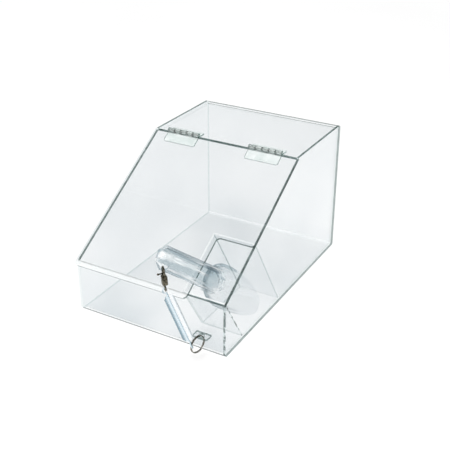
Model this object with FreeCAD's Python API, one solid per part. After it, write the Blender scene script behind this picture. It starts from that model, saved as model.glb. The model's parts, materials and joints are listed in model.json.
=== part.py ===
import FreeCAD, Part
import math
import os
from FreeCAD import Placement, Rotation, Vector

# Countertop bulk bin of clear acrylic with a sloping hinged lid, a scoop pocket
# under a notch in the lid, and a scoop tied to the front by a coiled tether.
# Millimetres. +Z up, the front faces -Y, the origin is the centre of the base.

# ---- driving dimensions: bin ----
WIDTH = 203.2
DEPTH = 304.8
HEIGHT = 177.8
TOP_DEPTH = 130.5          # flat top, from the back to the lid's hinge edge
FRONT_HEIGHT = 67.0        # front panel, below the lid
SHEET = 3.0                # acrylic sheet thickness
BEND_RADIUS = 3.5          # outside radius of the heat-bent corners
LID_GAP = 0.1              # running gap under the closed lid
LID_OVERHANG = 6.5         # lid past the front panel
LID_CORNER = 5.0

# ---- driving dimensions: notch and scoop pocket ----
NOTCH_WIDTH = 48.0         # from the lid's right edge
NOTCH_LENGTH = 83.5        # up the slope from the lid's lower edge
POCKET_SHEET = 2.0
POCKET_WIDTH = 52.0        # clear width between the pocket wall and the right side
POCKET_RIM_DROP = 1.0      # pocket rim below the lid's underside
POCKET_LENGTH = 78.0       # clear length up the slope

# ---- driving dimensions: hinges ----
HINGE_LENGTH = 45.0
HINGE_MARGIN = 21.0        # from each side of the bin to the nearer hinge end
LEAF_THICK = 1.6
TOP_LEAF_REACH = 13.5      # leaf edge to the pin axis
LID_LEAF_REACH = 17.0
BARREL_RADIUS = 2.8
PIN_RADIUS = 1.0
PIN_CLEARANCE = 0.05
KNUCKLES = 5
KNUCKLE_GAP = 0.25

# ---- driving dimensions: scoop ----
BOWL_HALF_WIDTH = 25.7
BOWL_DEPTH = 16.0
BOWL_LENGTH = 65.3         # bowl centre to the lip
SCOOP_WALL = 2.4
RIM_STRAIGHT = 6.0         # straight rim ahead of the bowl centre
HANDLE_WIDTH = 28.0
HANDLE_FLAT = 17.0         # width of the top facet
HANDLE_LIFT = 8.0          # underside of the handle above the bowl's rim
HANDLE_SIDE = 4.0          # height of the upright sides
HANDLE_HEIGHT = 12.0
HANDLE_END = 93.5          # bowl centre to the handle's free end
HANDLE_CORNER = 7.5        # how far the four corners are cut
NOSE_END = -4.0            # the handle's other end, over the bowl
HANG_HOLE_RADIUS = 3.7
HANG_BAR = 3.0             # height of the bar left below the hanging hole
HANG_HOLE_INSET = 10.5     # from the free end to the hole in the near side wall
SCOOP_DIP = 53.4           # how steeply the scoop stands down into the pocket
SCOOP_SWING = 12.8         # its lean up the slope
SCOOP_CENTRE = Vector(72.1, -172.3, -29.6)   # bowl centre in the lid's frame

# ---- driving dimensions: tether hardware ----
TAB_WIDTH = 19.0
TAB_REACH = 11.0
TAB_THICK = 2.5
TAB_TOP = 25.0
TAB_X = 74.0
TAB_HOLE_RADIUS = 3.5
TAB_HOLE_REACH = 5.6       # hole centre ahead of the front panel
TAB_CORNER = 3.0
RING_RADIUS = 10.2         # to the wire centres
RING_WIRE = 0.65
RING_PLAY = 0.55           # ring's inner edge below the top of the tab
RING_TURN = 77.0           # heading of the ring's plane, from +X towards +Y
RING_CATCH = 160.0         # where the tether hooks on, degrees round the ring
TETHER_RADIUS = 6.1
TETHER_END_RADIUS = 1.6
TETHER_CONE = 4.5
TETHER_NECK = 2.0
NECK_RADIUS = 0.9
LOOP_RADIUS = 3.1          # the small loop at each end of the tether
LOOP_WIRE = 0.55

# ---- driving dimensions: clasp, along its own length ----
CLASP_LEAN = 5.0           # degrees from upright
HOOK_RADIUS = 4.0          # to the wire centre
HOOK_WIRE = 1.0
HOOK_STRAIGHT = 7.5
HOOK_STUB = 2.0            # straight end of the hook that the gate closes on
HOOK_OFFSET_X = 1.0        # the hook's wire crosses the bar a little off its middle
HOOK_OFFSET_Z = 0.65
HOOK_SAG = 0.5             # the bend rides up until it touches the handle
CLASP_BODY_LENGTH = 10.5
CLASP_WIDTH = 7.4
CLASP_THICK = 6.4
CLASP_ROUND = 1.4          # rounding of the body's edges
CLASP_NECK = 1.0           # body past the hook's straight part
SHANK_LEAN = 1.6           # the hook's fixed side leans in by this much
STUD_LIFT = 1.2            # stud above the gate's bend
STUD_RADIUS = 0.8
STUD_HEAD_RADIUS = 1.3
STUD_LENGTH = 5.5          # thumb stud on the gate
GATE_THICK = 2.2
GATE_SLOT = 2.5
GATE_SLOT_END = 1.1        # the slot's closed side, past the body's middle
GATE_SLOT_DROP = 2.3       # slot floor below the gate pin
GATE_FOOT_IN = 0.3         # the gate's bend, inside the hook's free side
GATE_FOOT_UP = 0.5
LEVER_REACH = 1.6          # short lever outside the hook's free side
LEVER_DROP = 0.6
GATE_PIN_RADIUS = 0.6
GATE_PIN_X = -1.2
GATE_PIN_DROP = 2.6        # gate pin below the top of the clasp body
GATE_BOSS = 1.7
GATE_LINK = 0.95           # half width of the gate's arm
GATE_GAP = 0.45            # below the hook's end, so the gate can swing in
EYE_RADIUS = 2.6
EYE_WIRE = 0.9
SWIVEL_RADIUS = 1.0
SWIVEL_CLEARANCE = 0.05
SWIVEL_HEAD_RADIUS = 1.9
SWIVEL_HEAD_THICK = 1.2
SWIVEL_HEAD_SPACE = 0.2    # round the swivel's head
SWIVEL_HEAD_LIFT = 0.4     # head above the cavity's floor
CLASP_FLOOR = 1.6          # body below the cavity
CAVITY_HEIGHT = 2.4
EYE_DROP = 1.2             # eye below the clasp body

HALF = WIDTH / 2
FRONT = -DEPTH / 2
BACK = DEPTH / 2
INNER = HALF - SHEET
HINGE_Y = BACK - TOP_DEPTH
X_AXIS = Vector(1, 0, 0)
Y_AXIS = Vector(0, 1, 0)


def lid_angle():
    """Slope of the lid: its outer face passes through the hinge edge and its
    underside rests on the front panel's top corner."""
    rise = HEIGHT - FRONT_HEIGHT
    run = HINGE_Y - FRONT
    return math.acos((SHEET + LID_GAP) / math.hypot(rise, run)) - math.atan2(run, rise)


ALPHA = lid_angle()
LID_LENGTH = (HINGE_Y - FRONT + LID_OVERHANG) / math.cos(ALPHA)
# Lid frame: origin at the hinge edge, X along it, -Y down the slope, +Z out.
LID_FRAME = Placement(Vector(0, HINGE_Y, HEIGHT), Rotation(X_AXIS, math.degrees(ALPHA)))
AXIS_HEIGHT = BARREL_RADIUS + 0.1
AXIS_POINT = Vector(0, HINGE_Y - AXIS_HEIGHT * math.tan(ALPHA / 2), HEIGHT + AXIS_HEIGHT)


def save(shape, name):
    shape.exportStep("parts/" + name + ".step")


def polyline_face(points):
    return Part.Face(Part.makePolygon(list(points) + [points[0]]))


def rounded_face(points, radii):
    """Planar face on the given corners, each rounded by its radius."""
    edges = []
    count = len(points)
    ends = []
    for i in range(count):
        here = points[i]
        before = (points[i - 1] - here).normalize()
        after = (points[(i + 1) % count] - here).normalize()
        if radii[i] == 0:
            ends.append((here, here, None))
            continue
        half = before.getAngle(after) / 2
        reach = radii[i] / math.tan(half)
        middle_dir = (before + after).normalize()
        centre = here + middle_dir * (radii[i] / math.sin(half))
        ends.append((here + before * reach, here + after * reach, centre - middle_dir * radii[i]))
    for i in range(count):
        start, end, middle = ends[i]
        if middle is not None:
            edges.append(Part.Arc(start, middle, end).toShape())
        edges.append(Part.makeLine(end, ends[(i + 1) % count][0]))
    return Part.Face(Part.Wire(edges))


def box(x0, x1, y0, y1, z0, z1):
    return Part.makeBox(x1 - x0, y1 - y0, z1 - z0, Vector(x0, y0, z0))


def placed(shape, placement):
    """The shape moved by a placement, with its points rewritten in place."""
    result = shape.copy()
    result.Placement = placement.multiply(result.Placement)
    return result


# ---- bin shell ----

def lid_underside(y):
    """Height of the plane under the closed lid, at a given Y."""
    return FRONT_HEIGHT + (y - FRONT) * math.tan(ALPHA)


TOP_EDGE_Y = HINGE_Y + SHEET * math.sin(ALPHA) + 0.4


def wrapped_sheet():
    """Front, base, back and top, bent from one sheet."""
    outer = [
        Vector(0, FRONT, FRONT_HEIGHT), Vector(0, FRONT, 0), Vector(0, BACK, 0),
        Vector(0, BACK, HEIGHT), Vector(0, TOP_EDGE_Y, HEIGHT),
    ]
    inner = [
        Vector(0, TOP_EDGE_Y, HEIGHT - SHEET), Vector(0, BACK - SHEET, HEIGHT - SHEET),
        Vector(0, BACK - SHEET, SHEET), Vector(0, FRONT + SHEET, SHEET),
        Vector(0, FRONT + SHEET, FRONT_HEIGHT),
    ]
    inside = BEND_RADIUS - SHEET
    radii = [0, BEND_RADIUS, BEND_RADIUS, BEND_RADIUS, 0, 0, inside, inside, inside, 0]
    sheet = rounded_face(outer + inner, radii).extrude(X_AXIS * (2 * INNER))
    sheet.translate(X_AXIS * -INNER)
    return sheet


def side_panel(x_low):
    corners = [
        Vector(0, FRONT, 0), Vector(0, BACK, 0), Vector(0, BACK, HEIGHT),
        Vector(0, TOP_EDGE_Y, HEIGHT), Vector(0, TOP_EDGE_Y, lid_underside(TOP_EDGE_Y)),
        Vector(0, FRONT, FRONT_HEIGHT),
    ]
    radii = [BEND_RADIUS, BEND_RADIUS, BEND_RADIUS, 0, 0, 0]
    panel = rounded_face(corners, radii).extrude(X_AXIS * SHEET)
    panel.translate(X_AXIS * x_low)
    return panel


# ---- lid, in the lid frame ----

NOTCH_X = HALF - NOTCH_WIDTH
NOTCH_Y = NOTCH_LENGTH - LID_LENGTH


def lid_panel():
    low = -LID_LENGTH
    corners = [
        Vector(-HALF, low, 0), Vector(NOTCH_X, low, 0), Vector(NOTCH_X, NOTCH_Y, 0),
        Vector(HALF, NOTCH_Y, 0), Vector(HALF, 0, 0), Vector(-HALF, 0, 0),
    ]
    radii = [LID_CORNER, LID_CORNER, LID_CORNER, LID_CORNER, 0, 0]
    sheet = rounded_face(corners, radii).extrude(Vector(0, 0, -SHEET))
    return placed(sheet, LID_FRAME)


# ---- scoop pocket ----

FRONT_INNER_TOP = LID_FRAME.inverse().multVec(Vector(0, FRONT + SHEET, FRONT_HEIGHT))
POCKET_FRONT_Y = FRONT_INNER_TOP.y + POCKET_SHEET       # inner face of the front wall
POCKET_BACK_Y = POCKET_FRONT_Y + POCKET_LENGTH   # inner face of the back wall
POCKET_X = INNER - POCKET_WIDTH                  # inner face of the left wall
POCKET_RIM_Z = -SHEET - LID_GAP - POCKET_RIM_DROP


def pocket_slab(x0, x1, y0, y1, top):
    """A wall square to the lid, cut off where it meets the base and front."""
    slab = placed(box(x0, x1, y0, y1, -HEIGHT, top), LID_FRAME)
    inside = box(-INNER, INNER, FRONT + SHEET, BACK - SHEET, SHEET, HEIGHT)
    return slab.common(inside)


def pocket_left_wall():
    outer = POCKET_X - POCKET_SHEET
    return pocket_slab(outer, POCKET_X, POCKET_FRONT_Y, POCKET_BACK_Y, POCKET_RIM_Z)


def pocket_end_wall(inner_y, outward):
    """Front wall with outward -1, back wall with outward +1."""
    y0, y1 = sorted((inner_y, inner_y + outward * POCKET_SHEET))
    return pocket_slab(POCKET_X - POCKET_SHEET, INNER, y0, y1, POCKET_RIM_Z)


# ---- hinges: one leaf on the top, one on the lid, a pin through both ----

HINGE_FRAME_FIXED = Placement(AXIS_POINT, Rotation())
HINGE_FRAME_LID = Placement(AXIS_POINT, Rotation(X_AXIS, math.degrees(ALPHA)))
HINGE_STARTS = (-HALF + HINGE_MARGIN, HALF - HINGE_MARGIN - HINGE_LENGTH)


def knuckle_spans(first):
    pitch = HINGE_LENGTH / KNUCKLES
    spans = []
    for i in range(first, KNUCKLES, 2):
        spans.append((i * pitch + KNUCKLE_GAP / 2, (i + 1) * pitch - KNUCKLE_GAP / 2))
    return spans


def hinge_leaf(first, side, reach):
    """A leaf in the pin's frame. side is +1 for a leaf on +Y, -1 for -Y."""
    swing = BARREL_RADIUS + 0.4
    low, high = -AXIS_HEIGHT, LEAF_THICK - AXIS_HEIGHT
    near, far = sorted((side * swing, side * reach))
    leaf = box(0, HINGE_LENGTH, near, far, low, high)
    outer_edges = [e for e in leaf.Edges if is_outer_corner(e, side * reach)]
    leaf = leaf.makeFillet(2.0, outer_edges)
    for x0, x1 in knuckle_spans(first):
        y0, y1 = sorted((0, side * (swing + 1)))
        leaf = leaf.fuse(box(x0, x1, y0, y1, low, high))
        leaf = leaf.fuse(Part.makeCylinder(BARREL_RADIUS, x1 - x0, Vector(x0, 0, 0), X_AXIS))
    bore = Part.makeCylinder(PIN_RADIUS + PIN_CLEARANCE, HINGE_LENGTH + 2, Vector(-1, 0, 0), X_AXIS)
    return leaf.cut(bore).removeSplitter()


def is_outer_corner(edge, y):
    """True for the short upright edges at the leaf's free side."""
    ends = [v.Point for v in edge.Vertexes]
    upright = abs(ends[0].z - ends[1].z) > LEAF_THICK / 2
    return upright and abs(ends[0].y - y) < 1e-6


def hinge_pin():
    return Part.makeCylinder(PIN_RADIUS, HINGE_LENGTH, Vector(0, 0, 0), X_AXIS)


# ---- scoop: x from handle to lip, y across, z to the open side ----

SCOOP_PITCH = Rotation(Vector(0, 1, 0), SCOOP_DIP)
SCOOP_ROTATION = SCOOP_PITCH.multiply(Rotation(Vector(0, 0, 1), SCOOP_SWING))
SCOOP_FRAME = LID_FRAME.multiply(Placement(SCOOP_CENTRE, SCOOP_ROTATION))
BOWL_RADIUS = (BOWL_HALF_WIDTH ** 2 + BOWL_DEPTH ** 2) / (2 * BOWL_DEPTH)
BOWL_AXIS_Z = BOWL_RADIUS - BOWL_DEPTH


def bowl_volume(radius):
    """Round-backed trough of a given radius, running past the lip."""
    centre = Vector(0, 0, BOWL_AXIS_Z)
    ball = Part.makeSphere(radius, centre)
    trough = Part.makeCylinder(radius, BOWL_LENGTH + 10, centre, X_AXIS)
    return ball.fuse(trough)


def bowl_side_view():
    """Everything under the rim, which sweeps down to the lip."""
    tip = Vector(BOWL_LENGTH, 0, -BOWL_DEPTH + 0.5)
    bend = Vector(RIM_STRAIGHT, 0, 0)
    middle = Vector(0.6 * BOWL_LENGTH, 0, -0.44 * BOWL_DEPTH)
    base = -BOWL_DEPTH - 5
    edges = [
        Part.makeLine(Vector(-50, 0, 0), bend),
        Part.Arc(bend, middle, tip).toShape(),
        Part.makeLine(tip, Vector(BOWL_LENGTH, 0, base)),
        Part.makeLine(Vector(BOWL_LENGTH, 0, base), Vector(-50, 0, base)),
        Part.makeLine(Vector(-50, 0, base), Vector(-50, 0, 0)),
    ]
    profile = Part.Face(Part.Wire(edges)).extrude(Vector(0, 100, 0))
    profile.translate(Vector(0, -50, 0))
    return profile


def bowl():
    shell = bowl_volume(BOWL_RADIUS).cut(bowl_volume(BOWL_RADIUS - SCOOP_WALL))
    return shell.common(bowl_side_view())


HANDLE_ROOT = -BOWL_HALF_WIDTH + 0.5
HANDLE_BASE = -1.0


def handle_outline(inset, z):
    """Long octagon, every side moved in by the inset."""
    half = HANDLE_WIDTH / 2 - inset
    x0, x1 = -HANDLE_END + inset, NOSE_END - inset
    cut = HANDLE_CORNER - inset * (2 - math.sqrt(2))
    quarter = [(x1, half - cut), (x1 - cut, half), (x0 + cut, half), (x0, half - cut)]
    mirrored = [(x, -y) for x, y in reversed(quarter)]
    return [Vector(x, y, z) for x, y in quarter + mirrored]


def hood(inset, base):
    """Solid with the handle's outline, upright sides and a bevelled top."""
    shoulder = HANDLE_LIFT + HANDLE_SIDE - inset * 0.4
    top = HANDLE_LIFT + HANDLE_HEIGHT - inset
    bevel = inset + (HANDLE_WIDTH - HANDLE_FLAT) / 2
    low = Part.makePolygon(closed(handle_outline(inset, shoulder)))
    high = Part.makePolygon(closed(handle_outline(bevel, top)))
    roof = Part.makeLoft([low, high], True, True)
    walls = polyline_face(handle_outline(inset, base)).extrude(Vector(0, 0, shoulder - base))
    return walls.fuse(roof)


def closed(points):
    return points + points[:1]


def hang_hole():
    y = -HANDLE_WIDTH / 2 - 1
    return Part.makeCylinder(HANG_HOLE_RADIUS, 10, Vector(HANG_X, y, HANG_Z), Vector(0, 1, 0))


def handle():
    shell = hood(0, HANDLE_BASE).cut(hood(SCOOP_WALL, HANDLE_BASE - 1))
    half = HANDLE_WIDTH
    shell = shell.cut(box(-2 * HANDLE_END, HANDLE_ROOT, -half, half, HANDLE_BASE - 1, HANDLE_LIFT))
    inside_bowl = box(-half, half, -half, half, -BOWL_DEPTH, 0)
    shell = shell.cut(bowl_volume(BOWL_RADIUS - SCOOP_WALL).common(inside_bowl))
    return shell.cut(hang_hole())


HANG_X = -HANDLE_END + HANG_HOLE_INSET
HANG_Z = HANDLE_LIFT + HANG_BAR + HANG_HOLE_RADIUS


def scoop():
    return placed(bowl().fuse(handle()).removeSplitter(), SCOOP_FRAME)


# ---- anchor tab and key ring ----

TAB_HOLE_Y = FRONT - TAB_HOLE_REACH
RING_HEADING = Vector(math.cos(math.radians(RING_TURN)), math.sin(math.radians(RING_TURN)), 0)
RING_DROP = RING_RADIUS - RING_WIRE - RING_PLAY
RING_OFFSET = math.sqrt(RING_RADIUS ** 2 - (RING_DROP - TAB_THICK / 2) ** 2)
RING_CENTRE = Vector(TAB_X, TAB_HOLE_Y, TAB_TOP - RING_DROP) - RING_HEADING * RING_OFFSET


def anchor_tab():
    x0, x1 = TAB_X - TAB_WIDTH / 2, TAB_X + TAB_WIDTH / 2
    y0, z0 = FRONT - TAB_REACH, TAB_TOP - TAB_THICK
    corners = [Vector(x0, y0, z0), Vector(x1, y0, z0), Vector(x1, FRONT, z0), Vector(x0, FRONT, z0)]
    tab = rounded_face(corners, [TAB_CORNER, TAB_CORNER, 0, 0]).extrude(Vector(0, 0, TAB_THICK))
    hole = Part.makeCylinder(TAB_HOLE_RADIUS, HEIGHT, Vector(TAB_X, TAB_HOLE_Y, 0))
    return tab.cut(hole)


def key_ring():
    """Two turns of wire lying against each other, as one closed ring."""
    axis = RING_HEADING.cross(Vector(0, 0, 1))
    ring = None
    for side in (-1, 1):
        turn = Part.makeTorus(RING_RADIUS, RING_WIRE, RING_CENTRE + axis * (side * RING_WIRE * 0.9), axis)
        ring = turn if ring is None else ring.fuse(turn)
    return ring.removeSplitter()


# ---- clasp: hooked through the handle's hole, hanging towards the ring ----

def scoop_point(x, y, z):
    return SCOOP_FRAME.multVec(Vector(x, y, z))


BAR_Y = -(HANDLE_WIDTH - SCOOP_WALL) / 2
BAR_Z = HANDLE_LIFT + HANG_BAR / 2
HOOK_HOLD = scoop_point(HANG_X + HOOK_OFFSET_X, BAR_Y, BAR_Z + HOOK_OFFSET_Z)   # on the bar below the hole
CATCH_ANGLE = math.radians(RING_CATCH)
CATCH_RISE = Vector(0, 0, RING_RADIUS * math.sin(CATCH_ANGLE))
RING_CATCH_POINT = RING_CENTRE + RING_HEADING * (RING_RADIUS * math.cos(CATCH_ANGLE)) + CATCH_RISE


def clasp_frame():
    """Z up along the clasp, Y through the hook's loop, origin at the centre
    of the hook's bend."""
    lean = math.radians(CLASP_LEAN)
    up = Vector(-math.sin(lean), 0, math.cos(lean))
    bar = SCOOP_FRAME.Rotation.multVec(X_AXIS)
    side = bar.cross(up).normalize()
    return Placement(HOOK_HOLD - up * HOOK_SAG, Rotation(side, up.cross(side), up, "ZXY"))


CLASP_FRAME = clasp_frame()
BODY_TOP = -HOOK_STRAIGHT
BODY_BASE = BODY_TOP - CLASP_BODY_LENGTH
GATE_PIN_Z = BODY_TOP - GATE_PIN_DROP
EYE_Z = BODY_BASE - EYE_DROP - EYE_RADIUS - EYE_WIRE
CAVITY_BASE = BODY_BASE + CLASP_FLOOR
CAVITY_TOP = CAVITY_BASE + CAVITY_HEIGHT


def rod(start, end, radius):
    return Part.makeCylinder(radius, (end - start).Length, start, end - start)


def hook():
    """Bent wire, open above the gate."""
    bend = Part.makeTorus(HOOK_RADIUS, HOOK_WIRE, Vector(0, 0, 0), Y_AXIS)
    bend = bend.common(box(-2 * HOOK_RADIUS, 2 * HOOK_RADIUS, -HOOK_RADIUS, HOOK_RADIUS, 0, 2 * HOOK_RADIUS))
    corner = Vector(HOOK_RADIUS, 0, 0)
    root = Vector(HOOK_RADIUS - SHANK_LEAN, 0, BODY_TOP - CLASP_NECK)
    shank = rod(corner, root, HOOK_WIRE).fuse(Part.makeSphere(HOOK_WIRE, corner))
    stub = rod(Vector(-HOOK_RADIUS, 0, 0), Vector(-HOOK_RADIUS, 0, -HOOK_STUB), HOOK_WIRE)
    return bend.fuse(shank).fuse(stub)


def clasp_body():
    half, thick = CLASP_WIDTH / 2, CLASP_THICK / 2
    top = BODY_TOP + CLASP_NECK
    shell = box(-half, half, -thick, thick, BODY_BASE, top)
    shell = shell.makeFillet(CLASP_ROUND, shell.Edges).fuse(hook())
    slot_floor = GATE_PIN_Z - GATE_SLOT_DROP
    slot = box(-CLASP_WIDTH, GATE_SLOT_END, -GATE_SLOT / 2, GATE_SLOT / 2, slot_floor, top + 1)
    shell = shell.cut(slot).cut(gate_pin_rod(GATE_PIN_RADIUS, CLASP_THICK + 2))
    cavity = rod(Vector(0, 0, CAVITY_BASE), Vector(0, 0, CAVITY_TOP), SWIVEL_HEAD_RADIUS + SWIVEL_HEAD_SPACE)
    bore_radius = SWIVEL_RADIUS + SWIVEL_CLEARANCE
    bore = rod(Vector(0, 0, BODY_BASE - 1), Vector(0, 0, CAVITY_TOP - 1), bore_radius)
    return shell.cut(cavity).cut(bore).removeSplitter()


def gate_pin_rod(radius, length):
    start = Vector(GATE_PIN_X, -length / 2, GATE_PIN_Z)
    return rod(start, start + Y_AXIS * length, radius)


def clasp_gate():
    tip = Vector(-HOOK_RADIUS, 0, -HOOK_STUB - GATE_GAP - GATE_LINK)
    foot = Vector(-HOOK_RADIUS + GATE_FOOT_IN, 0, BODY_TOP + GATE_FOOT_UP)
    pin = Vector(GATE_PIN_X, 0, GATE_PIN_Z)
    half = GATE_THICK / 2
    shape = plate_bar(tip, foot, GATE_LINK, half).fuse(plate_bar(foot, pin, GATE_LINK, half))
    shape = shape.fuse(gate_boss(half))
    lever = Vector(-HOOK_RADIUS - LEVER_REACH, 0, BODY_TOP - LEVER_DROP)
    shape = shape.fuse(plate_bar(foot, lever, GATE_LINK, half)).fuse(thumb_stud(foot))
    return shape.cut(gate_pin_rod(GATE_PIN_RADIUS + PIN_CLEARANCE, 10)).removeSplitter()


def thumb_stud(foot):
    base = foot + Vector(0, 0, STUD_LIFT)
    end = base - Y_AXIS * STUD_LENGTH
    return rod(base, end, STUD_RADIUS).fuse(Part.makeSphere(STUD_HEAD_RADIUS, end))


def gate_boss(half):
    start = Vector(GATE_PIN_X, -half, GATE_PIN_Z)
    return rod(start, start + Y_AXIS * (2 * half), GATE_BOSS)


def plate_bar(start, end, radius, half):
    """Flat link with round ends between two points of the clasp's plane."""
    along = (end - start).normalize()
    across = along.cross(Y_AXIS) * radius
    shift = Vector(0, -half, 0)
    corners = [start + across + shift, end + across + shift, end - across + shift, start - across + shift]
    bar = polyline_face(corners).extrude(Y_AXIS * (2 * half))
    for point in (start, end):
        bar = bar.fuse(rod(point + shift, point - shift, radius))
    return bar


def clasp_eye():
    ring = Part.makeTorus(EYE_RADIUS, EYE_WIRE, Vector(0, 0, EYE_Z), Y_AXIS)
    head_base = Vector(0, 0, CAVITY_BASE + SWIVEL_HEAD_LIFT)
    post = rod(Vector(0, 0, EYE_Z + EYE_RADIUS), head_base, SWIVEL_RADIUS)
    head_top = head_base + Vector(0, 0, SWIVEL_HEAD_THICK)
    return ring.fuse(post).fuse(rod(head_base, head_top, SWIVEL_HEAD_RADIUS)).removeSplitter()


def end_loop(hold, tangent, up):
    """Small loop round a wire that runs along the tangent."""
    axis = tangent - up * tangent.dot(up)
    return Part.makeTorus(LOOP_RADIUS, LOOP_WIRE, hold, axis.normalize())


def tether():
    """Envelope of the coil: a cylinder with coned ends and a loop at each end."""
    top_hold = CLASP_FRAME.multVec(Vector(0, 0, EYE_Z - EYE_RADIUS))
    low_hold = RING_CATCH_POINT
    up = (top_hold - low_hold).normalize()
    top = top_hold - up * (LOOP_RADIUS + TETHER_NECK)
    low = low_hold + up * (LOOP_RADIUS + TETHER_NECK)
    length = (top - low).Length
    coil = Part.makeCylinder(TETHER_RADIUS, length - 2 * TETHER_CONE, low + up * TETHER_CONE, up)
    foot = Part.makeCone(TETHER_END_RADIUS, TETHER_RADIUS, TETHER_CONE, low, up)
    head = Part.makeCone(TETHER_RADIUS, TETHER_END_RADIUS, TETHER_CONE, top - up * TETHER_CONE, up)
    necks = rod(low_hold + up * LOOP_RADIUS, top_hold - up * LOOP_RADIUS, NECK_RADIUS)
    ring_tangent = RING_HEADING * math.sin(CATCH_ANGLE) - Vector(0, 0, math.cos(CATCH_ANGLE))
    eye_tangent = CLASP_FRAME.Rotation.multVec(X_AXIS)
    loops = end_loop(low_hold, ring_tangent, up).fuse(end_loop(top_hold, eye_tangent, up))
    return coil.fuse(foot).fuse(head).fuse(necks).fuse(loops).removeSplitter()


def write_hinges():
    for name, start in zip(("left", "right"), HINGE_STARTS):
        shift = Placement(X_AXIS * start, Rotation())
        fixed = shift.multiply(HINGE_FRAME_FIXED)
        save(placed(hinge_leaf(0, 1, TOP_LEAF_REACH), fixed), name + "_hinge_top_leaf")
        moving = shift.multiply(HINGE_FRAME_LID)
        save(placed(hinge_leaf(1, -1, LID_LEAF_REACH), moving), name + "_hinge_lid_leaf")
        save(placed(hinge_pin(), fixed), name + "_hinge_pin")


def write_clasp():
    save(placed(clasp_body(), CLASP_FRAME), "clasp_body")
    save(placed(clasp_gate(), CLASP_FRAME), "clasp_gate")
    save(placed(gate_pin_rod(GATE_PIN_RADIUS, CLASP_THICK), CLASP_FRAME), "clasp_gate_pin")
    save(placed(clasp_eye(), CLASP_FRAME), "clasp_swivel_eye")


def write_all():
    os.makedirs("parts", exist_ok=True)
    save(wrapped_sheet(), "wrapped_body_sheet")
    save(side_panel(-HALF), "left_side_panel")
    save(side_panel(INNER), "right_side_panel")
    save(lid_panel(), "lid_panel")
    save(pocket_left_wall(), "pocket_left_wall")
    save(pocket_end_wall(POCKET_FRONT_Y, -1), "pocket_front_wall")
    save(pocket_end_wall(POCKET_BACK_Y, 1), "pocket_back_wall")
    write_hinges()
    save(scoop(), "scoop")
    write_clasp()
    save(tether(), "tether_coil")
    save(anchor_tab(), "tether_anchor_tab")
    save(key_ring(), "key_ring")


write_all()
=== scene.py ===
import json
import math

import bpy
from mathutils import Matrix, Vector


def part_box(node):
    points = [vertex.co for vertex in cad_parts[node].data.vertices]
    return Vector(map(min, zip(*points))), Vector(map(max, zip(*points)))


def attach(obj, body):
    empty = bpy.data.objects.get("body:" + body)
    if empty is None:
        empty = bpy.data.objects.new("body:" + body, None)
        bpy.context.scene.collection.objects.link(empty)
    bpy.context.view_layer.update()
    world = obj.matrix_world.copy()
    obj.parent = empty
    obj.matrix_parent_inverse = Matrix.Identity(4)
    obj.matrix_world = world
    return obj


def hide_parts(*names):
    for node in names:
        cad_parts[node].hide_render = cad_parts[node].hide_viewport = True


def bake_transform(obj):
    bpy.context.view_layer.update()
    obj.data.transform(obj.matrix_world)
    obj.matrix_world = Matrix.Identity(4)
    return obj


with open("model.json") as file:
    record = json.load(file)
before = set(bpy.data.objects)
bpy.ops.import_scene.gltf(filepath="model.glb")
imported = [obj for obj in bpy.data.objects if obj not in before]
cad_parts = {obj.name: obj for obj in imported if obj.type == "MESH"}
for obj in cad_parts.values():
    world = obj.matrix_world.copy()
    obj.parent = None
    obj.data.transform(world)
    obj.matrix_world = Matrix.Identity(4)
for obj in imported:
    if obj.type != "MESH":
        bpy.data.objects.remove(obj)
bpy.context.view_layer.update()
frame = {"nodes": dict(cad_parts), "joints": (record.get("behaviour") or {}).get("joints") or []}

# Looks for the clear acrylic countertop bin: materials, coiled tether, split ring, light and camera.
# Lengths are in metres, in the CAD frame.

JOINTS = {joint["name"]: joint for joint in frame["joints"]}
NODES = frame["nodes"]

MM = 0.001
X_AXIS = Vector((1, 0, 0))
Y_AXIS = Vector((0, 1, 0))
Z_AXIS = Vector((0, 0, 1))

# ---- clear sheet ----
SHEET = 3.0 * MM
LID_STRIP = 6.5 * MM            # width of the lid's pale lower strip of painted glow
LID_LIP = 0.55 * SHEET          # lit part of the lid's lower edge, from its upper face
BEND_REACH = 5.0 * MM           # how far the bend at the foot of the back reaches
RIM_REACH = 4.0 * MM            # a rim lies within this of the sheet's outermost face
FRONT_RIM_ABOVE = 20.0 * MM     # keeps the front rim's mask off the base
FOOT_FADE = 60.0 * MM           # the sheet is greyer below this height, painted shade towards its foot
FACE_ON = 0.9                   # cosine above which a face looks along an axis
FLAT = 0.985                    # cosine above which the bent sheet counts as flat

# ---- scoop ----
HANDLE_AXIS = Vector((0.58, 0.60, -0.55)).normalized()
BOWL_CENTRE = Vector((0.0721, -0.1094, 0.0623))
BOWL_OPENS = Vector((0.80, -0.31, 0.51)).normalized()
BOWL_LEVEL = BOWL_CENTRE.dot(BOWL_OPENS)
BOWL_RIM_DEPTH = 1.5 * MM
NOSE_RISE = 4.0 * MM            # the nose stands more than this above the bowl's rim
HANDLE_FADE = (66 * MM, 79 * MM)          # heights between which the bowl gives way to the handle
FREE_END_FADE = (-90 * MM, -74 * MM)      # along the handle, from the bowl's centre
NOSE_FADE = (-22 * MM, -8 * MM)

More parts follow.
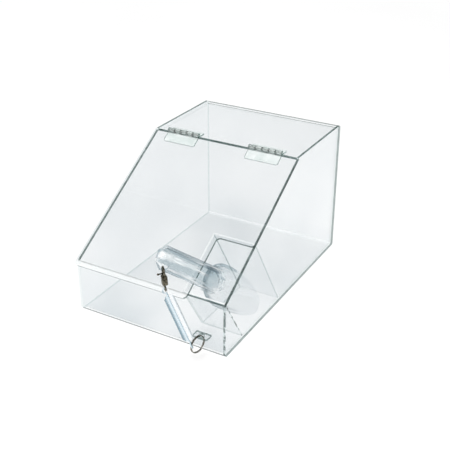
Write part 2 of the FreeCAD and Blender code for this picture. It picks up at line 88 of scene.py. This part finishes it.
# ---- tether and split ring ----
WIRE_ROUNDNESS = 3              # bevel steps of a swept wire
EYE_RADIUS = 2.6 * MM
RING_RADIUS = 10.2 * MM
RING_WIRE = 0.65 * MM
RING_CATCH = math.radians(160.0)          # where the tether hooks on, round the ring
RING_START = math.radians(-60.0)
RING_STEPS = 72                 # per turn
CROSSOVER_START = 60            # step at which the ring's wire moves over to its second turn
CROSSOVER_STEPS = 24
LOOP_RADIUS = 3.1 * MM
LOOP_STEPS = 32
NECK = 2.0 * MM
COIL_RADIUS = 5.15 * MM
COIL_END_RADIUS = 1.0 * MM
COIL_WIRE = 0.9 * MM
COIL_CONE = 4.5 * MM            # length over which the coil narrows at each end
COIL_PITCH = 2.1 * MM
COIL_STEPS = 24                 # per turn
JOIN_AT = 0.55                  # where the two lengths of coil meet, from its lower end

# ---- camera ----
CAMERA_AZIMUTH = math.radians(29.468)
CAMERA_ELEVATION = math.radians(26.51)
CAMERA_ROLL = math.radians(0.148)
CAMERA_AIM = Vector((0.0142, 0.0, 0.0955))
CAMERA_DISTANCE = 1.0389
CAMERA_SENSOR = 36.0            # mm
CAMERA_LENS = 66.1              # mm
CAMERA_SHIFT = (0.0, -0.03)
CAMERA_CLIP = 0.01

# ---- studio ----
FLOOR_SIZE = 8.0
FLOOR_DROP = 0.6 * MM           # keeps the floor clear of the bin's base
WORLD_LEVEL = 1.03              # brings the floor to white
DARKEST_BAND = 0.25
BAND_DIRECTION = (3.0, 2.0, 6.0)          # its length sets how narrow the bands are
LIGHT_TARGET = Vector((0, 0, 0.05))
CLEAR_CROSSINGS = 48            # faces a ray may pass straight through
BOUNCES = 16

# ---- colours ----
WHITE = (1.0, 1.0, 1.0)
PANE_LOW = (0.944, 0.953, 0.958)
PANE_HIGH = (0.968, 0.974, 0.977)
# Painted shade: the bent sheet's flat parts fade to this grey towards the foot.
PANE_FOOT = (0.88, 0.90, 0.91)
PANE_SHEEN = (0.97, 0.98, 0.98)
# Edge tones: the grey-green is the sheet's own tint seen end on; how dark each edge is drawn, by where it
# stands and the side it is seen from, is painted shade.
EDGE = (0.17, 0.22, 0.21)
EDGE_STREAK = (0.42, 0.49, 0.48)
EDGE_SHEEN = (0.60, 0.66, 0.65)
SIDE_LOWER_EDGE = (0.26, 0.32, 0.31)
TAB_EDGE = (0.36, 0.42, 0.41)
FAINT_EDGE = (0.80, 0.84, 0.84)
FAR_SIDE_EDGE = (0.88, 0.91, 0.91)
POCKET_EDGE = (0.72, 0.77, 0.77)
GLUE_DARK = (0.16, 0.21, 0.20)
EDGE_GLINT = (0.90, 0.94, 0.94)
GLUE_SHEEN = (0.90, 0.93, 0.93)
LIT_EDGE = (0.93, 0.96, 0.96)
LIT_EDGE_CLEAR = (0.95, 0.97, 0.97)
BEND_FACING = (0.90, 0.93, 0.93)
BEND_OUTLINE = (0.16, 0.21, 0.20)
BEND_SHEEN = (0.95, 0.97, 0.97)
HINGE_FACING = (0.93, 0.96, 0.95)
HINGE_OUTLINE = (0.10, 0.15, 0.14)
HINGE_END = (0.24, 0.32, 0.30)
LEAF_LOW = (0.85, 0.90, 0.885)
LEAF_HIGH = (0.97, 0.985, 0.98)
LEAF_MILK = (0.97, 1.0, 0.99)
# Scoop tones: the facing colours are the plastic's tint; the outline and rim colours add painted shade.
BOWL_FACING = (0.935, 0.947, 0.953)
BOWL_OUTLINE = (0.36, 0.43, 0.46)
BOWL_RIM = (0.62, 0.68, 0.70)
HANDLE_FACING = (0.80, 0.845, 0.862)
HANDLE_OUTLINE = (0.33, 0.41, 0.45)
# Painted highlight on the scoop.
SCOOP_HIGHLIGHT = (0.98, 1.0, 1.0)
PIN_STEEL = ((0.62, 0.63, 0.63), (0.85, 0.86, 0.86))
DARK_BRASS = ((0.010, 0.008, 0.005), (0.26, 0.24, 0.18))
RING_METAL = ((0.07, 0.065, 0.05), (0.55, 0.53, 0.48))
FLOOR_LOW = (0.93, 0.93, 0.93)
FLOOR_HIGH = (0.96, 0.96, 0.96)
CORD_TINT_AND_PAINTED_LIGHT = (                # across the coil, from its left to its right: the cord's blue tint, with painted shade down the left and a painted highlight down the right
    (0.0, (0.22, 0.34, 0.40)),
    (0.18, (0.38, 0.50, 0.56)),
    (0.34, (0.82, 0.89, 0.93)),
    (0.47, (0.80, 0.90, 0.95)),
    (0.53, (0.38, 0.50, 0.56)),
    (0.60, (1.0, 1.0, 1.0)),
    (0.82, (0.95, 0.98, 1.0)),
    (1.0, (0.45, 0.50, 0.52)),
)


# ---- node trees ----

class Tree:
    """Short forms for building the nodes of a material or world."""

    def __init__(self, owner):
        self.owner = owner
        owner.use_nodes = True
        self.tree = owner.node_tree
        self.tree.nodes.clear()

    def node(self, kind, inputs=None, **settings):
        made = self.tree.nodes.new(kind)
        for key, value in settings.items():
            setattr(made, key, value)
        for key, value in (inputs or {}).items():
            self.feed(made.inputs[key], value)
        return made

    def feed(self, socket, value):
        if isinstance(value, bpy.types.NodeSocket):
            self.tree.links.new(value, socket)
        elif socket.type == "RGBA":
            socket.default_value = (*value, 1.0)
        else:
            socket.default_value = value

    # numbers and masks

    def math(self, operation, a, b=0.0):
        return self.node("ShaderNodeMath", {0: a, 1: b}, operation=operation).outputs[0]

    def plus(self, a, b):
        return self.math("ADD", a, b)

    def minus(self, a, b):
        return self.math("SUBTRACT", a, b)

    def times(self, a, b):
        """Product of two values, or the place where two masks meet."""
        return self.math("MULTIPLY", a, b)

    def either(self, a, b):
        return self.math("MAXIMUM", a, b)

    def above(self, value, level):
        return self.math("GREATER_THAN", value, level)

    def below(self, value, level):
        return self.math("LESS_THAN", value, level)

    def ramp(self, value, low, high, start=0.0, end=1.0):
        """Value from low to high, stretched to run from start to end and held there outside."""
        return self.node("ShaderNodeMapRange", {0: value, 1: low, 2: high, 3: start, 4: end}).outputs[0]

    def dot(self, vector, axis):
        made = self.node("ShaderNodeVectorMath", {0: vector, 1: tuple(axis)}, operation="DOT_PRODUCT")
        return made.outputs["Value"]

    # patterns

    def coordinates(self, which):
        return self.node("ShaderNodeTexCoord").outputs[which]

    def noise(self, scale, detail=2.0, stretch=(1.0, 1.0, 1.0)):
        place = self.coordinates("Object")
        scaled = self.node("ShaderNodeVectorMath", {0: place, 1: stretch}, operation="MULTIPLY")
        inputs = {"Vector": scaled.outputs[0], "Scale": scale, "Detail": detail}
        return self.node("ShaderNodeTexNoise", inputs).outputs["Fac"]

    def patches(self, scale, low, high, **shape):
        """Noise with its values between low and high stretched to 0 to 1."""
        return self.ramp(self.noise(scale, **shape), low, high)

    def streaks(self, scale, axis, squeeze):
        """Noise drawn out along an axis."""
        side, other = across(axis)
        place = self.coordinates("Object")
        run = self.times(self.dot(place, axis), squeeze)
        parts = {0: run, 1: self.dot(place, side), 2: self.dot(place, other)}
        joined = self.node("ShaderNodeCombineXYZ", parts).outputs[0]
        inputs = {"Vector": joined, "Scale": scale, "Detail": 3.0}
        return self.node("ShaderNodeTexNoise", inputs).outputs["Fac"]

    def bump(self, height, strength, distance):
        inputs = {"Height": height, "Strength": strength, "Distance": distance}
        return self.node("ShaderNodeBump", inputs).outputs[0]

    # how a face stands

    def inside(self):
        """1 where the eye looks at a face from within the solid."""
        return self.node("ShaderNodeNewGeometry").outputs["Backfacing"]

    def along(self, axis):
        """Whether a face's outward side looks along an axis."""
        flip = self.minus(1.0, self.times(self.inside(), 2.0))
        outward = self.times(self.dot(self.coordinates("Normal"), axis), flip)
        return self.above(outward, FACE_ON)

    def squareness(self, axis):
        """Cosine between a face's normal, either way, and an axis."""
        return self.math("ABSOLUTE", self.dot(self.coordinates("Normal"), axis))

    def either_way(self, axis):
        return self.above(self.squareness(axis), FACE_ON)

    def turned_away(self, normal=None):
        """0 where the surface faces the eye, 1 at its outline, alike on both sides."""
        inputs = {"Blend": 0.5}
        if normal is not None:
            inputs["Normal"] = normal
        return self.node("ShaderNodeLayerWeight", inputs).outputs["Facing"]

    def reflectance(self, scale, normal=None):
        """Mirror share of clear plastic: 4 % face on, rising to all at the outline."""
        rise = self.math("POWER", self.turned_away(normal), 5.0)
        return self.times(self.plus(self.times(rise, 0.96), 0.04), scale)

    # shaders

    def mix_color(self, factor, a, b):
        made = self.node("ShaderNodeMix", {0: factor}, data_type="RGBA")
        first, second = (socket for socket in made.inputs if socket.type == "RGBA")
        self.feed(first, a)
        self.feed(second, b)
        return next(socket for socket in made.outputs if socket.type == "RGBA")

    def mix(self, factor, a, b):
        return self.node("ShaderNodeMixShader", {0: factor, 1: a, 2: b}).outputs[0]

    def clear(self, tint):
        return self.node("ShaderNodeBsdfTransparent", {"Color": tint}).outputs[0]

    def diffuse(self, color):
        return self.node("ShaderNodeBsdfDiffuse", {"Color": color}).outputs[0]

    def clear_with_flat(self, tint, color, share):
        """Clear plastic with a share of flat diffuse colour: haze in the hinge leaves, painted glow,
        highlights and shade elsewhere.
        """
        return self.mix(share, self.clear(tint), self.diffuse(color))

    def sheen(self, body, color, share, roughness, normal=None):
        """A body with a share of mirror over it."""
        inputs = {"Color": color, "Roughness": roughness}
        if normal is not None:
            inputs["Normal"] = normal
        return self.mix(share, body, self.node("ShaderNodeBsdfAnisotropic", inputs).outputs[0])

    # endings

    def finish(self, shader):
        self.node("ShaderNodeOutputMaterial", {"Surface": shader})
        return self.owner

    def finish_clear(self, shader):
        """Clear plastic throws no shadow on the floor."""
        path = self.node("ShaderNodeLightPath")
        unseen = self.either(path.outputs["Is Shadow Ray"], path.outputs["Is Diffuse Ray"])
        return self.finish(self.mix(unseen, shader, self.clear(WHITE)))

    def finish_sheet(self, broad, edge, face):
        """Clear sheet whose broad faces look along an axis, either way."""
        return self.finish_clear(self.mix(self.either_way(broad), edge, face))


def material_tree(name):
    return Tree(bpy.data.materials.new(name))


# ---- sheet materials ----

def pane(t, low=PANE_LOW):
    """Broad face of a clear sheet: faint tint, faint mirror."""
    tint = t.mix_color(t.patches(scale=6.0, low=0.35, high=0.65), low, PANE_HIGH)
    return t.sheen(t.clear(tint), PANE_SHEEN, share=t.reflectance(0.8), roughness=0.04)


def dark_edge(t, tint=EDGE):
    """Cut edge seen end on: the sheet's grey-green tint darkened with painted shade, with lighter
    stretches.
    """
    streak = t.patches(scale=60.0, low=0.45, high=0.85, detail=3.0)
    color = t.mix_color(streak, tint, EDGE_STREAK)
    return t.sheen(t.clear(color), EDGE_SHEEN, share=0.12, roughness=0.2)


def jagged_edge(t):
    """Glued edge: dark, broken by short painted glints."""
    streak = t.patches(scale=260.0, low=0.47, high=0.55, detail=4.0, stretch=(1.0, 1.0, 0.6))
    color = t.mix_color(streak, GLUE_DARK, EDGE_GLINT)
    return t.sheen(t.clear(color), GLUE_SHEEN, share=0.1, roughness=0.2)


def bright_edge(t):
    """Polished edge that glows with the light carried in the sheet."""
    color = t.mix_color(t.patches(scale=80.0, low=0.3, high=0.7), LIT_EDGE, WHITE)
    return t.clear_with_flat(LIT_EDGE_CLEAR, color, share=0.7)


def left_side_material(upper_edges):
    """Side panel seen through the bin: only its upper edges get the dark painted shade."""
    t = material_tree("left_side_acrylic")
    edge = t.mix(upper_edges(t), t.clear(FAR_SIDE_EDGE), dark_edge(t))
    return t.finish_sheet(X_AXIS, edge, pane(t))


def right_side_material(upper_edges):
    """Side panel nearest the camera: edges dark with painted shade, with a glue line broken by painted
    glints along the front one.
    """
    t = material_tree("right_side_acrylic")
    lower = t.mix(t.along(-Y_AXIS), dark_edge(t, SIDE_LOWER_EDGE), jagged_edge(t))
    edge = t.mix(upper_edges(t), lower, dark_edge(t))
    return t.finish_sheet(X_AXIS, edge, pane(t))


def lid_material(lid_normal, down_slope):
    """Lid: cut edges dark with painted shade, and a pale strip of painted glow where it overhangs the
    front.
    """
    t = material_tree("lid_acrylic")
    place = t.coordinates("Object")
    strip = t.above(t.dot(place, down_slope), farthest("lid_panel", down_slope) - LID_STRIP)
    under = t.below(t.dot(place, lid_normal), farthest("lid_panel", lid_normal) - LID_LIP)
    lip = t.mix(under, bright_edge(t), dark_edge(t))
    # Painted shade: the cut edge is dark seen from outside the sheet and faint seen from within.
    cut = t.mix(t.inside(), dark_edge(t), t.clear(FAINT_EDGE))
    edge = t.mix(t.times(strip, t.along(down_slope)), cut, lip)
    face = t.mix(t.times(strip, 0.6), pane(t), bright_edge(t))
    return t.finish_sheet(lid_normal, edge, face)


def pocket_material(name, broad, rim, jagged=None):
    """Pocket wall: pale rim of painted glow, faint glued edges, or a broken dark one where the glue line
    shows between painted glints.
    """
    t = material_tree(name)
    edge = t.mix(t.along(rim), t.clear(POCKET_EDGE), bright_edge(t))
    if jagged is not None:
        edge = t.mix(t.along(jagged), edge, jagged_edge(t))
    return t.finish_sheet(broad, edge, pane(t))


def tab_material():
    """Small clear plate with edges softly darkened by painted shade."""
    t = material_tree("tab_acrylic")
    return t.finish_sheet(Z_AXIS, dark_edge(t, TAB_EDGE), pane(t))


def wrapped_material():
    """Bent sheet: flat parts clear, painted greyer towards the foot; bends darker towards their outline
    with painted shade, and a painted white glow along the bend at the foot of the back; top and front
    rims dark with painted shade.
    """
    t = material_tree("wrapped_acrylic")
    place = t.coordinates("Object")
    height = t.dot(place, Z_AXIS)
    depth = t.dot(place, Y_AXIS)
    low, high = (Vector(corner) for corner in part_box("wrapped_body_sheet"))

    outline = t.mix_color(t.ramp(t.turned_away(), 0.12, 0.55), BEND_FACING, BEND_OUTLINE)
    bend = t.sheen(t.clear(outline), BEND_SHEEN, share=t.reflectance(0.35), roughness=0.08)
    # Painted highlight: the bend at the foot of the back glows white.
    back_foot = t.times(t.above(depth, high.y - BEND_REACH), t.below(height, BEND_REACH))
    bend = t.mix(back_foot, bend, bright_edge(t))

    flat = t.above(t.either(t.squareness(Y_AXIS), t.squareness(Z_AXIS)), FLAT)
    low_tint = t.mix_color(t.ramp(height, 0.0, FOOT_FADE), PANE_FOOT, PANE_LOW)
    face = t.mix(flat, bend, pane(t, low_tint))
    face = t.mix(t.either_way(X_AXIS), face, t.clear(BEND_FACING))

    over_base = t.times(t.above(height, FRONT_RIM_ABOVE), t.along(Z_AXIS))
    front_rim = t.times(t.below(depth, low.y + RIM_REACH), over_base)
    top_rim = t.times(t.above(height, high.z - RIM_REACH), t.along(-Y_AXIS))
    return t.finish_clear(t.mix(t.either(top_rim, front_rim), face, dark_edge(t)))


# ---- fitting materials ----

def hinge_material(name, broad):
    """Clear moulded hinge: pale leaf, ends and outlines dark with painted shade, bright knuckles."""
    t = material_tree(name)
    outline = t.mix_color(t.ramp(t.turned_away(), 0.15, 0.75), HINGE_FACING, HINGE_OUTLINE)
    mirror = t.plus(t.reflectance(0.6), 0.15)
    knuckle = t.sheen(t.clear(outline), WHITE, share=mirror, roughness=0.1)
    leaf_tint = t.mix_color(t.patches(scale=90.0, low=0.35, high=0.65), LEAF_LOW, LEAF_HIGH)
    leaf = t.clear_with_flat(leaf_tint, LEAF_MILK, share=0.22)
    shape = t.mix(t.either_way(broad), knuckle, leaf)
    return t.finish_sheet(X_AXIS, shape, t.clear(HINGE_END))


def scoop_tint(t, in_handle, rise, turn):
    """Thin pale bowl with a greyer rim, thicker blue-grey handle; rim and outlines darkened by painted
    shade, the handle's outline partly also by its thickness.
    """
    bowl = t.mix_color(t.ramp(turn, 0.45, 1.0), BOWL_FACING, BOWL_OUTLINE)
    rim = t.times(t.along(BOWL_OPENS), t.above(rise, BOWL_LEVEL - BOWL_RIM_DEPTH))
    bowl = t.mix_color(rim, bowl, BOWL_RIM)
    handle = t.mix_color(t.ramp(turn, 0.2, 0.95), HANDLE_FACING, HANDLE_OUTLINE)
    return t.mix_color(in_handle, bowl, handle)


def scoop_highlight_share(t, in_handle, rise, streak):
    """Share of painted highlight in white: long streaks, strongest in the handle, and patches at both its
    ends.
    """
    run = t.minus(t.dot(t.coordinates("Object"), HANDLE_AXIS), BOWL_CENTRE.dot(HANDLE_AXIS))
    free_end = t.minus(1.0, t.ramp(run, *FREE_END_FADE))
    nose = t.times(t.ramp(run, *NOSE_FADE), t.above(rise, BOWL_LEVEL + NOSE_RISE))
    end_highlight = t.times(t.ramp(streak, 0.42, 0.56), t.times(t.either(free_end, nose), 0.75))
    strength = t.plus(t.times(in_handle, 0.4), 0.1)
    return t.either(t.times(t.ramp(streak, 0.54, 0.66), strength), end_highlight)


def scoop_material():
    """Moulded clear scoop, streaked along its handle with bumps and painted highlights."""
    t = material_tree("scoop_plastic")
    place = t.coordinates("Object")
    in_handle = t.ramp(t.dot(place, Z_AXIS), *HANDLE_FADE)
    rise = t.dot(place, BOWL_OPENS)
    streak = t.streaks(scale=160.0, axis=HANDLE_AXIS, squeeze=0.15)
    bent = t.bump(streak, strength=0.5, distance=0.5 * MM)
    turn = t.plus(t.turned_away(bent), t.times(t.minus(streak, 0.5), 0.5))
    tint = scoop_tint(t, in_handle, rise, turn)
    body = t.clear_with_flat(tint, SCOOP_HIGHLIGHT, share=scoop_highlight_share(t, in_handle, rise, streak))
    mirror = t.reflectance(0.8, bent)
    return t.finish_clear(t.sheen(body, WHITE, share=mirror, roughness=0.06, normal=bent))


def metal_material(name, tones):
    """Worn metal: patchy tone and patchy polish."""
    dark, light = tones
    t = material_tree(name)
    inputs = {
        "Base Color": t.mix_color(t.patches(scale=400.0, low=0.35, high=0.7, detail=4.0), dark, light),
        "Metallic": 1.0,
        "Roughness": t.ramp(t.noise(900.0), -1.0, 2.5, start=-0.15, end=0.85),
        "Normal": t.bump(t.noise(700.0), strength=0.2, distance=0.2 * MM),
    }
    return t.finish(t.node("ShaderNodeBsdfPrincipled", inputs).outputs[0])


def cord_material():
    """Clear blue cord: painted shade in deep blue down one side of the coil, a painted highlight in white
    down the other.
    """
    t = material_tree("blue_cord")
    around = t.node("ShaderNodeAttribute", attribute_name="around").outputs["Fac"]
    light_ramp = t.node("ShaderNodeValToRGB", {"Fac": around})
    stops = light_ramp.color_ramp.elements
    light_ramp.color_ramp.interpolation = "EASE"
    for at, color in CORD_TINT_AND_PAINTED_LIGHT[1:-1]:
        stops.new(at).color = (*color, 1.0)
    for stop, (_, color) in ((stops[0], CORD_TINT_AND_PAINTED_LIGHT[0]), (stops[-1], CORD_TINT_AND_PAINTED_LIGHT[-1])):
        stop.color = (*color, 1.0)
    tone = light_ramp.outputs["Color"]
    body = t.clear_with_flat(tone, tone, share=0.6)
    fleck = t.patches(scale=300.0, low=0.3, high=0.8)
    return t.finish_clear(t.sheen(body, WHITE, share=t.times(fleck, 0.15), roughness=0.12))


def floor_material():
    """Matt, nearly even white."""
    t = material_tree("pale_floor")
    color = t.mix_color(t.patches(scale=2.0, low=0.3, high=0.7), FLOOR_LOW, FLOOR_HIGH)
    return t.finish(t.diffuse(color))


# ---- geometry ----

def tube(name, points, radius, material):
    """Round wire swept along a path, as a mesh."""
    curve = bpy.data.curves.new(name, "CURVE")
    curve.dimensions = "3D"
    curve.bevel_depth = 1.0
    curve.bevel_resolution = WIRE_ROUNDNESS
    curve.use_fill_caps = True
    spline = curve.splines.new("POLY")
    spline.points.add(len(points) - 1)
    for point, place in zip(spline.points, points):
        point.co = (*place, 1.0)
        point.radius = radius
    holder = bpy.data.objects.new(name, curve)
    mesh = bpy.data.meshes.new_from_object(holder)
    bpy.data.objects.remove(holder)
    made = bpy.data.objects.new(name, mesh)
    bpy.context.scene.collection.objects.link(made)
    for polygon in mesh.polygons:
        polygon.use_smooth = True
    mesh.materials.clear()
    mesh.materials.append(material)
    return made


def across(axis):
    """Two unit vectors square to the axis and to each other."""
    helper = Z_AXIS if abs(axis.z) < FACE_ON else X_AXIS
    first = axis.cross(helper).normalized()
    return first, axis.cross(first).normalized()


def farthest(node, axis):
    """How far a CAD node reaches along an axis."""
    thing = NODES[node]
    return max((thing.matrix_world @ vertex.co).dot(axis) for vertex in thing.data.vertices)


def smooth(value):
    """Ease from 0 to 1, held outside."""
    value = min(1.0, max(0.0, value))
    return value * value * (3 - 2 * value)


def joint_axis(name):
    return Vector(JOINTS[name]["axis"]).normalized()


# ---- tether ----

def ring_frame():
    """Key ring's centre, axis and level direction in its plane."""
    axis = joint_axis("key_ring_turn")
    return Vector(JOINTS["key_ring_turn"]["pos_m"]), axis, Z_AXIS.cross(axis).normalized()


def tether_ends():
    """Where the cord's loops hold the key ring and the swivel eye."""
    centre, _, heading = ring_frame()
    level = heading * (RING_RADIUS * math.cos(RING_CATCH))
    low = centre + level + Z_AXIS * (RING_RADIUS * math.sin(RING_CATCH))
    top = Vector(JOINTS["clasp_swivel"]["pos_m"]) - joint_axis("clasp_swivel") * EYE_RADIUS
    return low, top


def coil_points(low, top, first, last):
    """Helix between two fractions of the way from low to top, coned at both ends."""
    up = (top - low).normalized()
    length = (top - low).length
    side, other = across(up)
    turns = length / COIL_PITCH
    steps = int(turns * (last - first) * COIL_STEPS)
    points = []
    for i in range(steps + 1):
        part = first + (last - first) * i / steps
        near_end = min(part, 1 - part) * length
        radius = COIL_END_RADIUS + (COIL_RADIUS - COIL_END_RADIUS) * smooth(near_end / COIL_CONE)
        angle = 2 * math.pi * turns * part
        out = side * math.cos(angle) + other * math.sin(angle)
        points.append(low + up * (length * part) + out * radius)
    return points


def end_loop(hold, tangent, up):
    """Loop round a wire running along the tangent, closed where it meets the neck."""
    axis = (tangent - up * tangent.dot(up)).normalized()
    side = axis.cross(up).normalized()
    points = []
    for i in range(LOOP_STEPS + 1):
        angle = 2 * math.pi * i / LOOP_STEPS
        points.append(hold + (up * math.cos(angle) + side * math.sin(angle)) * LOOP_RADIUS)
    return points


def mark_around(piece, low, right):
    """Store on each point how far across the coil it lies, 0 to 1."""
    around = piece.data.attributes.new("around", "FLOAT", "POINT")
    for point, value in zip(piece.data.vertices, around.data):
        value.value = 0.5 + 0.5 * (point.co - low).dot(right) / (COIL_RADIUS + COIL_WIRE)


def build_tether(material):
    """Two lengths of coil, and a top loop that turns with the eye."""
    low, top = tether_ends()
    up = (top - low).normalized()
    coil_low = low + up * (LOOP_RADIUS + NECK)
    coil_top = top - up * (LOOP_RADIUS + NECK)
    _, _, heading = ring_frame()
    ring_tangent = heading * math.sin(RING_CATCH) - Z_AXIS * math.cos(RING_CATCH)
    eye_tangent = joint_axis("clasp_gate_hinge").cross(joint_axis("clasp_swivel"))

    lower_path = end_loop(low, ring_tangent, up) + coil_points(coil_low, coil_top, 0.0, JOIN_AT)
    upper_path = coil_points(coil_low, coil_top, JOIN_AT, 1.0)
    loop_path = upper_path[-1:] + end_loop(top, eye_tangent, -up)
    lower = tube("tether_coil_lower", lower_path, COIL_WIRE, material)
    upper = tube("tether_coil_upper", upper_path, COIL_WIRE, material)
    loop = tube("tether_top_loop", loop_path, COIL_WIRE, material)
    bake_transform(lower)
    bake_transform(upper)
    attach(loop, "swivel_eye")

    # The camera's right, across the coil: sets the side of the painted shade and the side of the painted
    # highlight.
    right = up.cross(camera_back()).normalized()
    for piece in (lower, upper, loop):
        mark_around(piece, low, right)
        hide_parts("tether_coil")


def build_split_ring(material):
    """Two turns of wire lying side by side, with a short crossover."""
    centre, axis, heading = ring_frame()
    points = []
    for i in range(2 * RING_STEPS + 1):
        angle = 2 * math.pi * i / RING_STEPS + RING_START
        shift = (smooth((i - CROSSOVER_START) / CROSSOVER_STEPS) - 0.5) * 2 * RING_WIRE
        out = heading * math.cos(angle) + Z_AXIS * math.sin(angle)
        points.append(centre + out * RING_RADIUS + axis * shift)
    ring = tube("split_ring", points, RING_WIRE, material)
    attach(ring, "key_ring")
    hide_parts("key_ring")


# ---- dressing the CAD nodes ----

def dress(material, *names):
    for name in names:
        mesh = NODES[name].data
        mesh.materials.clear()
        mesh.materials.append(material)


def dress_bin():
    lid_normal = joint_axis("scoop_lift")
    down_slope = X_AXIS.cross(lid_normal)

    def upper_edges(t):
        return t.either(t.along(Z_AXIS), t.along(lid_normal))

    dress(wrapped_material(), "wrapped_body_sheet")
    dress(left_side_material(upper_edges), "left_side_panel")
    dress(right_side_material(upper_edges), "right_side_panel")
    dress(lid_material(lid_normal, down_slope), "lid_panel")
    dress(pocket_material("pocket_side_acrylic", X_AXIS, lid_normal), "pocket_left_wall")
    front = pocket_material("pocket_front_acrylic", down_slope, lid_normal, jagged=X_AXIS)
    dress(front, "pocket_front_wall")
    dress(pocket_material("pocket_back_acrylic", down_slope, lid_normal), "pocket_back_wall")
    dress(tab_material(), "tether_anchor_tab")
    top_leaf = hinge_material("hinge_top_plastic", Z_AXIS)
    dress(top_leaf, "left_hinge_top_leaf", "right_hinge_top_leaf")
    lid_leaf = hinge_material("hinge_lid_plastic", lid_normal)
    dress(lid_leaf, "left_hinge_lid_leaf", "right_hinge_lid_leaf")


def dress_fittings():
    dress(metal_material("pin_steel", PIN_STEEL), "left_hinge_pin", "right_hinge_pin")
    dress(scoop_material(), "scoop")
    brass = metal_material("dark_brass", DARK_BRASS)
    dress(brass, "clasp_body", "clasp_gate", "clasp_gate_pin", "clasp_swivel_eye")


# ---- stage ----

def build_floor():
    bpy.ops.mesh.primitive_plane_add(size=FLOOR_SIZE, location=(0, 0, -FLOOR_DROP))
    floor = bpy.context.object
    floor.name = "pale_floor"
    floor.data.materials.append(floor_material())


def build_world():
    """White all round, with soft bands that only reflections see."""
    t = Tree(bpy.data.worlds.new("studio"))
    wave = t.math("SINE", t.dot(t.coordinates("Generated"), BAND_DIRECTION))
    bands = t.ramp(wave, -1.0, 1.0, start=DARKEST_BAND)
    mirrored = t.node("ShaderNodeLightPath").outputs["Is Glossy Ray"]
    strength = t.plus(t.times(mirrored, bands), t.times(t.minus(1.0, mirrored), WORLD_LEVEL))
    background = t.node("ShaderNodeBackground", {"Color": WHITE, "Strength": strength})
    t.node("ShaderNodeOutputWorld", {"Surface": background.outputs[0]})
    bpy.context.scene.world = t.owner


def area_light(name, place, size, power):
    """Square light aimed at the bin, unseen in reflections."""
    data = bpy.data.lights.new(name, "AREA")
    data.size = size
    data.energy = power
    light = bpy.data.objects.new(name, data)
    bpy.context.scene.collection.objects.link(light)
    light.location = place
    light.visible_glossy = False
    light.rotation_euler = (LIGHT_TARGET - Vector(place)).to_track_quat("-Z", "Y").to_euler()


def camera_back():
    """Unit vector from the aimed point towards the camera."""
    flat = math.cos(CAMERA_ELEVATION)
    x = math.sin(CAMERA_AZIMUTH) * flat
    y = -math.cos(CAMERA_AZIMUTH) * flat
    return Vector((x, y, math.sin(CAMERA_ELEVATION)))


def build_camera():
    """Camera at the photograph's viewing angle."""
    level = Vector((math.cos(CAMERA_AZIMUTH), math.sin(CAMERA_AZIMUTH), 0))
    back = camera_back()
    rise = back.cross(level)
    right = level * math.cos(CAMERA_ROLL) + rise * math.sin(CAMERA_ROLL)
    up = rise * math.cos(CAMERA_ROLL) - level * math.sin(CAMERA_ROLL)
    data = bpy.data.cameras.new("photo_view")
    data.sensor_width = CAMERA_SENSOR
    data.lens = CAMERA_LENS
    data.shift_x, data.shift_y = CAMERA_SHIFT
    data.clip_start = CAMERA_CLIP
    camera = bpy.data.objects.new("photo_view", data)
    bpy.context.scene.collection.objects.link(camera)
    turn = Matrix((right, up, back)).transposed()
    place = CAMERA_AIM + back * CAMERA_DISTANCE
    camera.matrix_world = Matrix.Translation(place) @ turn.to_4x4()
    bpy.context.scene.camera = camera


def set_light_paths():
    """Enough see-through steps for rays that cross many clear sheets."""
    scene = bpy.context.scene
    scene.cycles.transparent_max_bounces = CLEAR_CROSSINGS
    scene.cycles.max_bounces = BOUNCES
    scene.view_settings.view_transform = "Standard"


dress_bin()
dress_fittings()
build_tether(cord_material())
build_split_ring(metal_material("ring_metal", RING_METAL))
build_floor()
build_world()
area_light("key_light", place=(-0.9, -0.7, 1.6), size=1.2, power=3.5)
area_light("right_light", place=(1.4, 0.2, 1.0), size=1.0, power=1.5)
build_camera()
set_light_paths()
